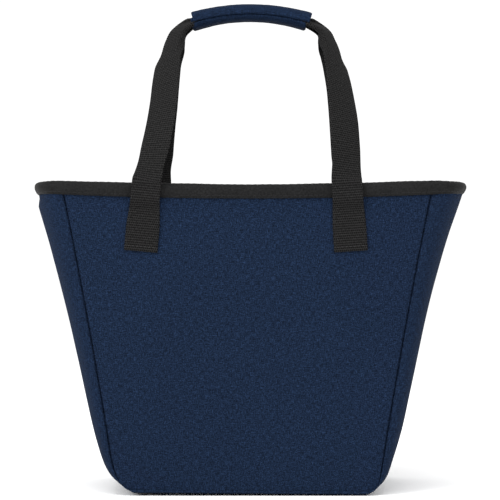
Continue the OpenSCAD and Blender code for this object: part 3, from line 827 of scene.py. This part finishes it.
def make_strap(name, tab, side, leg, *nodes):
    """One half of a handle. `tab` is the X of its sewn end's bottom and top."""
    hand = math.copysign(1, tab[0])
    route = strap_route(tab, side, leg)
    length = arc_length(route[:, :3])
    at = np.linspace(0, length[-1], int(length[-1] / (RIB_PITCH / 4)))
    route = points_at(route, length, at)
    for _ in range(10):
        route[1:-1] = (route[:-2] + 2 * route[1:-1] + route[2:]) / 4
    centre, turn, k = route[:, :3], np.radians(route[:, 3]), np.clip(route[:, 4], 0, 1)
    tangent = np.gradient(centre, axis=0)
    tangent /= np.linalg.norm(tangent, axis=1, keepdims=True)
    wide = join(np.cos(turn), -np.sin(turn) * hand * side, 0)
    wide -= (wide * tangent).sum(1, keepdims=True) * tangent
    wide /= np.linalg.norm(wide, axis=1, keepdims=True)
    face = side * np.cross(tangent, wide)

    # across the webbing: flat in the middle, with both sides folding under towards the grip
    fold = math.pi * smooth((k - 0.70) / 0.34)[:, None]
    half_w = WEBBING_W / 2
    s = np.concatenate([[-half_w, -12.2, -11], np.linspace(-9.6, 9.6, 17), [11, 12.2, half_w]])
    # drawn in by the pull of the leg where it passes over the rim
    height = centre[:, 2]
    pull = 0.13 if hand < 0 else 0.09
    drawn = 1 - pull * smooth((height - 198) / 26) * smooth((262 - height) / 18)
    past = np.maximum(np.abs(s) - FOLD_LINE, 0)[None, :]
    curved = np.minimum(past, FOLD_RADIUS * fold)
    angle = curved / FOLD_RADIUS
    straight = past - curved
    flat = np.minimum(np.abs(s), FOLD_LINE)[None, :]
    u = flat + FOLD_RADIUS * np.sin(angle) + straight * np.cos(angle)
    v = -FOLD_RADIUS * (1 - np.cos(angle)) - straight * np.sin(angle)
    u = u * np.sign(s) * drawn[:, None]
    nu, nv = np.sin(angle) * np.sign(s), np.cos(angle)
    v = v - (0.5 * np.sin(math.pi * k) - 7 * (1 - drawn))[:, None] * ((s / half_w) ** 2)[None, :]
    edge = np.where(np.abs(s) > 12.4, 0.35, np.where(np.abs(s) > 12, 0.8, 1.0))[None, :]
    rib = RIB_DEPTH * (0.5 + 0.5 * np.cos(2 * math.pi * at / RIB_PITCH))[:, None] * (edge > 0.9)
    end_round = np.minimum(1, 0.4 + at / 0.8)[:, None]
    wobble = 0.25 * ripple(centre, 30, 41)[:, None] * (k > 0)[:, None] * (k < 1)[:, None]

    def surface(level):
        thick = (WEBBING_T / 2 * level * edge * end_round) + level * (rib - RIB_DEPTH / 2)
        uu, vv = u + nu * thick, v + nv * thick + wobble
        return centre[:, None] + uu[..., None] * wide[:, None] + vv[..., None] * face[:, None]

    obj = shell(name, surface(1), surface(-1), join(s, at[:, None]))
    finish_piece(obj, None, "webbing", WEBBING, *nodes)
    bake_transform(obj)

    # stitches that hold the sewn end
    def on_tab(cross, up):
        i = int(np.argmin(np.abs(height - up)))
        return centre[i] + wide[i] * cross + face[i] * (WEBBING_T / 2 + 0.2)

    bottom = TAB_END_Z + END_STITCHES_UP
    row = np.array([on_tab(c, bottom) for c in np.linspace(-STITCH_INSET, STITCH_INSET, 12)])
    edges = [np.array([on_tab(c, up) for up in np.linspace(bottom, EDGE_STITCHES_TOP, 24)])
             for c in (-STITCH_INSET, STITCH_INSET)]
    sew(name + "_end_stitches", [row], "bag", "webbing", *STRAP_END_STITCH)
    sew(name + "_edge_stitches", edges, "bag", "webbing", *STRAP_EDGE_STITCH)


# ---- Grip wrap ----

CORE_W, CORE_H = 9.2, 3.3
# Angles round the section, and along the arch: where the cover and the flap start and end
COVER_SPAN, FLAP_SPAN = (38.0, 290.0), (74.0, -110.0)
COVER_ENDS, FLAP_ENDS = (-17.0, 16.6), (-16.3, 17.2)
FLAP_THIN, FLAP_COAT = 1.45, 2.75


def oval_point(offset, degrees):
    """Section of the wrap, along Y and outward, at an offset from its core. An angle of 0 is up,
    and -90 the front."""
    a = np.radians(degrees)
    half_w, half_h = CORE_W + offset, CORE_H + offset
    flat = np.tanh(np.sin(a) * 6) / math.tanh(6) * (half_w - half_h)
    return half_h * np.sin(a) + flat, half_h * np.cos(a)


def wrap_shell(name, inner_at, outer_at, swell, span, end_angles, seed):
    """A padded strip of the wrap's section, swept along the grip's arch. The two offsets from the
    core, and the swell towards the strip's ends, are functions of the angle round the section."""
    around = np.linspace(span[0], span[1], 128)
    edge = np.minimum(np.abs(around - span[0]), np.abs(span[1] - around))
    pad = np.clip(np.sqrt(np.clip(edge / 9, 0, 1)), 0.4, 1)
    angles = np.radians(np.linspace(end_angles[0], end_angles[1], 150))
    to_end = np.minimum(angles - angles[0], angles[-1] - angles) * GRIP_RADIUS
    close = np.clip(np.sqrt(np.clip(to_end / 1.2, 0, 1)), 0.5, 1)

    def surface(sign):
        low = inner_at(around)
        high = outer_at(around) + swell(around) * (angles[:, None] / angles[-1]) ** 2
        offset = (low + high) / 2 + sign * (high - low) / 2 * pad * close[:, None]
        y, lift = oval_point(offset, around)
        return join(*grip_arch(angles[:, None], lift, y))

    outer, inner = surface(1), surface(-1)
    relief = 0.22 * ripple(outer * (0.5, 1, 1), 9, seed) + 0.12 * ripple(outer, 4, seed + 1)
    out = grid_normals(outer)
    out = out * np.sign((out * (outer - inner)).sum(-1, keepdims=True))
    outer = outer + out * (relief * pad * close[:, None])[..., None]
    length = arc_length(join(*oval_point(outer_at(around), around)))
    return shell(name, outer, inner, join((angles * GRIP_RADIUS)[:, None], length))


def vertex_positions(mesh):
    co = np.empty(len(mesh.vertices) * 3)
    mesh.vertices.foreach_get("co", co)
    return co.reshape(-1, 3)


def evaluated_mesh(obj):
    """A new mesh with the object's modifiers applied at the current frame."""
    graph = bpy.context.evaluated_depsgraph_get()
    return bpy.data.meshes.new_from_object(obj.evaluated_get(graph))


def puff(obj, voxel, cap):
    """Inflates a closed padded piece with a cloth simulation, which moves no point further
    than `cap`, and applies the result."""
    scene = bpy.context.scene
    source = obj.data
    bpy.context.view_layer.objects.active = obj
    remesh = obj.modifiers.new("remesh", "REMESH")
    remesh.mode = "VOXEL"
    remesh.voxel_size = voxel * MM
    obj.data = evaluated_mesh(obj)
    obj.modifiers.clear()
    rest = vertex_positions(obj.data)
    cloth = obj.modifiers.new("cloth", "CLOTH").settings
    cloth.use_pressure = True
    cloth.uniform_pressure_force = 3.0
    cloth.effector_weights.gravity = 0
    cloth.tension_stiffness = cloth.compression_stiffness = 8
    cloth.quality = 4
    last_frame = 20
    for f in range(1, last_frame + 1):
        scene.frame_set(f)
    shaped = evaluated_mesh(obj)
    moved = vertex_positions(shaped) - rest
    size = np.linalg.norm(moved, axis=1, keepdims=True)
    limited = rest + moved * np.minimum(1, cap * MM / np.maximum(size, 1e-12))
    obj.modifiers.clear()
    shaped.vertices.foreach_set("co", limited.ravel())
    obj.data = shaped
    scene.frame_set(1)
    relax = obj.modifiers.new("relax", "SMOOTH")
    relax.iterations, relax.factor = 3, 0.5
    obj.data = evaluated_mesh(obj)
    obj.modifiers.clear()
    bpy.data.meshes.remove(source)


def unwrap(obj, mapping):
    """Writes UVs in metres from a function of the vertex positions in millimetres."""
    mesh = obj.data
    write_uv(mesh, mapping(vertex_positions(mesh) / MM))
    mesh.polygons.foreach_set("use_smooth", [True] * len(mesh.polygons))
    mesh.update()


def wrap_uv(points):
    """Along the grip's arch, and round its section."""
    dx, dz = points[:, 0], points[:, 2] - GRIP_CENTRE_Z
    along = np.arctan2(dx, dz) * GRIP_RADIUS
    lift = np.hypot(dx, dz) - GRIP_RADIUS
    y = points[:, 1]
    return join(along, y + np.sign(y) * (6 - np.abs(lift)) + lift * 0.5)


def make_wrap():
    # the cover's lower lip is a full roll that ends in a groove below the flap's edge
    def roll(a):
        return smooth((a - 100) / 60) * smooth((247.5 - a) / 5)

    cover = wrap_shell("grip_wrap", lambda a: 0.35, lambda a: 1.8 + 1.6 * roll(a),
                       lambda a: 0.8 * roll(a), COVER_SPAN, COVER_ENDS, 51)
    puff(cover, 0.55, 0.25)
    unwrap(cover, wrap_uv)
    finish_piece(cover, "grip", "canvas", CANVAS, "wrap_cover", "wrap_padding")

    # the flap is thin where it carries the hook strip, on the front, and padded over the top;
    # at the rear it is sewn to the cover and bends along its hinge
    def flap_inner(a):
        return np.maximum(lerp(FLAP_THIN, 3.0, smooth((-a - 58) / 10)),
                          lerp(FLAP_THIN, 2.3, smooth((a - 22) / 14)))

    def flap_outer(a):
        return np.maximum(lerp(FLAP_COAT, 4.2, smooth((-a - 30) / 40)),
                          lerp(FLAP_COAT, 3.1, smooth((a - 22) / 14)))

    flap = wrap_shell("grip_flap", flap_inner, flap_outer, lambda a: 0.5, FLAP_SPAN, FLAP_ENDS, 55)
    puff(flap, 0.5, 0.2)
    unwrap(flap, wrap_uv)
    finish_piece(flap, None, "canvas", CANVAS, "wrap_flap_cover", "wrap_flap_padding")
    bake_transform(flap)


# ---- Lid ----

def eased(low, high, count):
    """Even steps from low to high that get closer together towards both ends."""
    reach = math.pi / 2 * 0.9
    share = np.sin(np.linspace(-1, 1, count) * reach) / math.sin(reach)
    return lerp(low, high, (share + 1) / 2)


def slab(name, x, y, bottom, top):
    """A closed sheet between two heights over a grid, with UVs from above."""
    outer, inner = join(x, y, top), join(x, y, bottom)
    return shell(name, outer, inner, join(x, y))


def pad_slab(name, low, high, crown, seed, rim=5.0):
    """A padded rectangular panel with rounded edges and a slightly crowned top."""
    size = high - low
    x, y = np.meshgrid(eased(low[0], high[0], max(12, int(size[0] / 2.2))),
                       eased(low[1], high[1], max(10, int(size[1] / 2.0))), indexing="ij")
    edge = np.minimum(np.minimum(x - low[0], high[0] - x), np.minimum(y - low[1], high[1] - y))
    close = np.sqrt(1 - (1 - np.clip(edge / rim, 0, 1)) ** 2)
    points = join(x, y, 0)
    wave = 0.35 * ripple(points, 38, seed) + 0.12 * ripple(points, 13, seed + 1)
    middle, half = (low[2] + high[2]) / 2, size[2] / 2
    return slab(name, x, y, middle - half * lerp(0.35, 1, close),
                middle + half * lerp(0.35, 1, close) + (crown + wave) * close)


# One loop of the zip's coil: distance from the middle, height and radius of the thread
COIL_PITCH, COIL_LEAN = 1.5, 0.12
COIL_LOOP = [(3.0, 0.27, 0.26), (2.2, 0.28, 0.27), (1.0, 0.35, 0.28), (0.1, 0.55, 0.31),
             (-0.35, 0.95, 0.33), (0.1, 1.35, 0.31), (1.0, 1.55, 0.28), (2.2, 1.6, 0.27),
             (3.0, 1.55, 0.26)]


def zip_teeth(name, side, x0, x1, tape_top, body, node, apart=0.0):
    """One half of a coil zip: a row of rounded loops that reach across the middle, or stop short
    of it where the halves stand apart."""
    y, z, radius = np.array(COIL_LOOP).T[..., None]
    turns = np.linspace(0, 2 * math.pi, 8, endpoint=False)
    lean = np.linspace(-COIL_LEAN, COIL_LEAN, len(COIL_LOOP))[:, None]
    loop = join(lean + radius * np.cos(turns),
                side * (np.maximum(y, apart) + 0.25 + 0.5 * radius * np.sin(turns)),
                tape_top + z + radius * np.sin(turns))
    first = x0 + (0.25 if side > 0 else 0.75) * COIL_PITCH
    rods = np.array([loop + (first + i * COIL_PITCH, 0, 0)
                     for i in range(int((x1 - x0) / COIL_PITCH))])
    finish_piece(tube(name, rods), body, "zip_coil", COIL, node)


def tape_strip(name, low, high, body, node):
    """A woven tape with its thickness and slightly raised edges."""
    x, y = np.meshgrid(np.linspace(low[0], high[0], max(8, int((high[0] - low[0]) / 2))),
                       np.linspace(low[1], high[1], 16), indexing="ij")
    edge = np.minimum(y - low[1], high[1] - y)
    lift = 0.06 * ripple(join(x, y, 0), 9, 61) + 0.08 * np.exp(-(edge / 0.7) ** 2)
    finish_piece(slab(name, x, y, low[2], high[2] + lift), body, "zip_tape", TAPE, node)


def make_lid():
    for side, name in ((-1, "front"), (1, "rear")):
        body = "lid_" + name
        low, high = cad_box(f"lid_{name}_cover")
        pad_low = np.array([low[0], low[1], cad_box(f"lid_{name}_foam")[0][2] + 0.2])
        pad = pad_slab(f"lid_{name}_pad", pad_low, high - (0, 0, 0.1), 0.5, 70 + side)
        puff(pad, 1.4, 0.5)
        unwrap(pad, lambda points: points[:, :2])
        finish_piece(pad, body, "lid_fabric", CANVAS, f"lid_{name}_cover", f"lid_{name}_foam")
        film_low, film_high = cad_box(f"lid_{name}_lining")
        film = pad_slab(f"lid_{name}_foil", film_low + (1, 0.8, 0), film_high - (1, 0.8, 0), 0.0,
                        80 + side, rim=1.0)
        finish_piece(film, body, "foil_lining", FOIL, f"lid_{name}_lining")
        tape_low, tape_high = cad_box(f"zip_tape_{name}")
        tape_strip(f"zip_tape_{name}_cloth", tape_low, tape_high, body, f"zip_tape_{name}")
        zip_teeth(f"zip_teeth_{name}", side, tape_low[0], tape_high[0], tape_high[2], body,
                  f"zip_coil_{name}")
        seam_y = (low[1] if side > 0 else high[1]) + side * 3.0
        line = np.array([(x, seam_y, high[2] + 0.42)
                         for x in np.linspace(low[0] + 3, high[0] - 3, 60)])
        sew(f"lid_{name}_stitches", [line], body, "lid_fabric", *LID_STITCH)


# The lid's fixed ends leave a slot for the zip's end, this far out and half this wide
SLOT_X, SLOT_Y = 134.0, 6.0
END_TEETH_X, END_TAB_X = 133.5, 134.5
END_ZIP_GAP = 0.55
TAB_STITCH_INSET = 1.8


def make_lid_end(hand, rim):
    """One fixed end of the lid; `rim` is its curved outer edge."""
    tag = "left" if hand < 0 else "right"
    top_z = cad_box("lid_ends_cover")[1][2]
    foam_z = cad_box("lid_ends_foam")[0][2]
    film_z = cad_box("lid_ends_lining")[0][2]
    edge_y = rim[-1, 1]
    rear_part = np.linspace(SLOT_Y + 0.01, edge_y, 26)
    y = np.concatenate([-rear_part[::-1], np.linspace(-SLOT_Y, SLOT_Y, 9), rear_part])[:, None]
    outer_x = np.interp(y, rim[:, 1], rim[:, 0])
    inner_x = np.where(np.abs(y) <= SLOT_Y, SLOT_X, LID_END_X)
    share = (1 - np.cos(np.linspace(0, math.pi, 26))) / 2
    x, y = np.broadcast_arrays(lerp(inner_x, outer_x, share), y)
    slot_gap = np.hypot(np.maximum(x - SLOT_X, 0), np.maximum(np.abs(y) - SLOT_Y, 0))
    gaps = [x - LID_END_X, np.abs(x - outer_x), edge_y - np.abs(y), slot_gap]
    edge = np.clip(np.min(gaps, 0), 0, None)
    x = x * hand
    close = np.sqrt(1 - (1 - np.clip(edge / 4, 0, 1)) ** 2)
    wave = 0.3 * ripple(join(x, y, 0), 24, 91)
    middle, half = (foam_z + top_z) / 2, (top_z - foam_z) / 2
    pad = slab(f"lid_end_{tag}_pad", x, y, middle - half * lerp(0.4, 0.95, close),
               middle + half * lerp(0.4, 1, close) + (0.2 + wave) * close)
    finish_piece(pad, "bag", "lid_fabric", CANVAS, "lid_ends_cover", "lid_ends_foam")
    film = slab(f"lid_end_{tag}_foil", x, y, film_z + 0.1 * wave, film_z + FILM_T)
    finish_piece(film, "bag", "foil_lining", FOIL, "lid_ends_lining")

    def across(inner, outer):
        """From the inner to the outer X of this end, in rising order."""
        return (inner, outer) if hand > 0 else (-outer, -inner)

    tab_low, tab_high = cad_box("zip_end_tabs")
    tab_low[0], tab_high[0] = across(END_TAB_X, tab_high[0])
    tab = pad_slab(f"zip_end_tab_{tag}", tab_low + (0, 0, 0.15), tab_high + (0, 0, 0.1), 0.1, 95,
                   rim=1.2)
    finish_piece(tab, "bag", "zip_tape", BINDING, "zip_end_tabs")
    x0, y0 = tab_low[:2] + TAB_STITCH_INSET
    x1, y1 = tab_high[:2] - TAB_STITCH_INSET
    line = np.array([(x, y, tab_high[2] + 0.25)
                     for x, y in ((x0, y0), (x1, y0), (x1, y1), (x0, y1), (x0, y0))])
    sew(f"zip_end_tab_{tag}_stitches", [resample(line, 60)], "bag", "zip_tape", *TAB_STITCH)
    for side, word in ((-1, "front"), (1, "rear")):
        low, high = cad_box("zip_end_tapes")
        low[0], high[0] = across(LID_END_X, high[0])
        if side > 0:
            low[1] = END_ZIP_GAP
        else:
            high[1] = -END_ZIP_GAP
        tape_strip(f"zip_end_tape_{tag}_{word}", low, high, "bag", "zip_end_tapes")
        zip_teeth(f"zip_end_teeth_{tag}_{word}", side, *across(LID_END_X, END_TEETH_X), high[2],
                  "bag", "zip_end_coils", apart=0.5)


def make_lid_ends():
    z = cad_box("lid_ends_cover")[1][2] - 3
    turns = np.radians(np.linspace(-90, 90, 61))
    reach, depth = end_section(turns, WALL_T + 2.2, z)
    rim = join(seam_x(z) + SEAM_GAP + reach - 3.2 * np.cos(turns), depth)
    for hand in (-1, 1):
        make_lid_end(hand, rim)


# ---- Build ----

make_panel(-1, "front")
make_panel(1, "rear")
make_gusset()
make_base_insert()
make_binding()
make_strap("front_strap_left", (-81.2, -76.4), -1, "left",
           "front_handle_tabs", "front_handle_left_leg", "front_handle_grip_strap")
make_strap("front_strap_right", (75.0, 71.6), -1, "right", "front_handle_right_leg")
make_strap("rear_strap_left", (-78.0, -75.2), 1, "left",
           "rear_handle_tabs", "rear_handle_left_leg", "rear_handle_grip_strap")
make_strap("rear_strap_right", (80.0, 78.4), 1, "right", "rear_handle_right_leg")
make_wrap()
make_lid()
make_lid_ends()
for node, material in (("wrap_loop_strip", PILE), ("wrap_hook_strip", PILE),
                       ("zip_slider", ENAMEL), ("zip_puller", ENAMEL)):
    coat(node, material)


# ---- Floor, light and camera ----

FLOOR_HALF = 12.0


def make_stage():
    material = bpy.data.materials.new("pale_floor")
    material.use_nodes = True
    shader = material.node_tree.nodes["Principled BSDF"]
    shader.inputs["Base Color"].default_value = (0.97, 0.97, 0.97, 1)
    shader.inputs["Roughness"].default_value = 1.0
    shader.inputs["Specular IOR Level"].default_value = 0.0
    mesh = bpy.data.meshes.new("floor")
    corners = [(x * FLOOR_HALF, y * FLOOR_HALF, 0) for x, y in ((-1, -1), (1, -1), (1, 1), (-1, 1))]
    mesh.from_pydata(corners, [], [(0, 1, 2, 3)])
    floor = bpy.data.objects.new("floor", mesh)
    floor.data.materials.append(material)
    bpy.context.scene.collection.objects.link(floor)

    world = bpy.data.worlds.new("studio")
    world.use_nodes = True
    background = world.node_tree.nodes["Background"]
    background.inputs["Color"].default_value = (1, 1, 1, 1)
    background.inputs["Strength"].default_value = 1.08
    bpy.context.scene.world = world

    def softbox(name, place, target, width, height, power):
        light = bpy.data.lights.new(name, "AREA")
        light.shape = "RECTANGLE"
        light.size, light.size_y = width, height
        light.energy = power
        obj = bpy.data.objects.new(name, light)
        obj.location = place
        obj.rotation_euler = (Vector(target) - Vector(place)).to_track_quat("-Z", "Y").to_euler()
        bpy.context.scene.collection.objects.link(obj)

    softbox("top_softbox", (-0.15, -0.75, 1.55), (0, 0, 0.15), 1.4, 1.0, 14)
    softbox("left_softbox", (-1.3, -1.15, 0.95), (0, 0, 0.2), 0.9, 0.9, 21)
    softbox("right_softbox", (1.35, -1.0, 0.85), (0, 0, 0.2), 0.9, 0.9, 8)


def make_camera():
    camera = bpy.data.cameras.new("camera")
    camera.sensor_width = 36.0
    camera.lens = 138.5
    camera.clip_start, camera.clip_end = 0.05, 60
    obj = bpy.data.objects.new("camera", camera)
    obj.location = (0.0, -1.5, 0.184)
    obj.rotation_euler = (math.radians(90), 0, 0)
    bpy.context.scene.collection.objects.link(obj)
    bpy.context.scene.camera = obj


make_stage()
make_camera()
bpy.context.scene.view_settings.view_transform = "Standard"
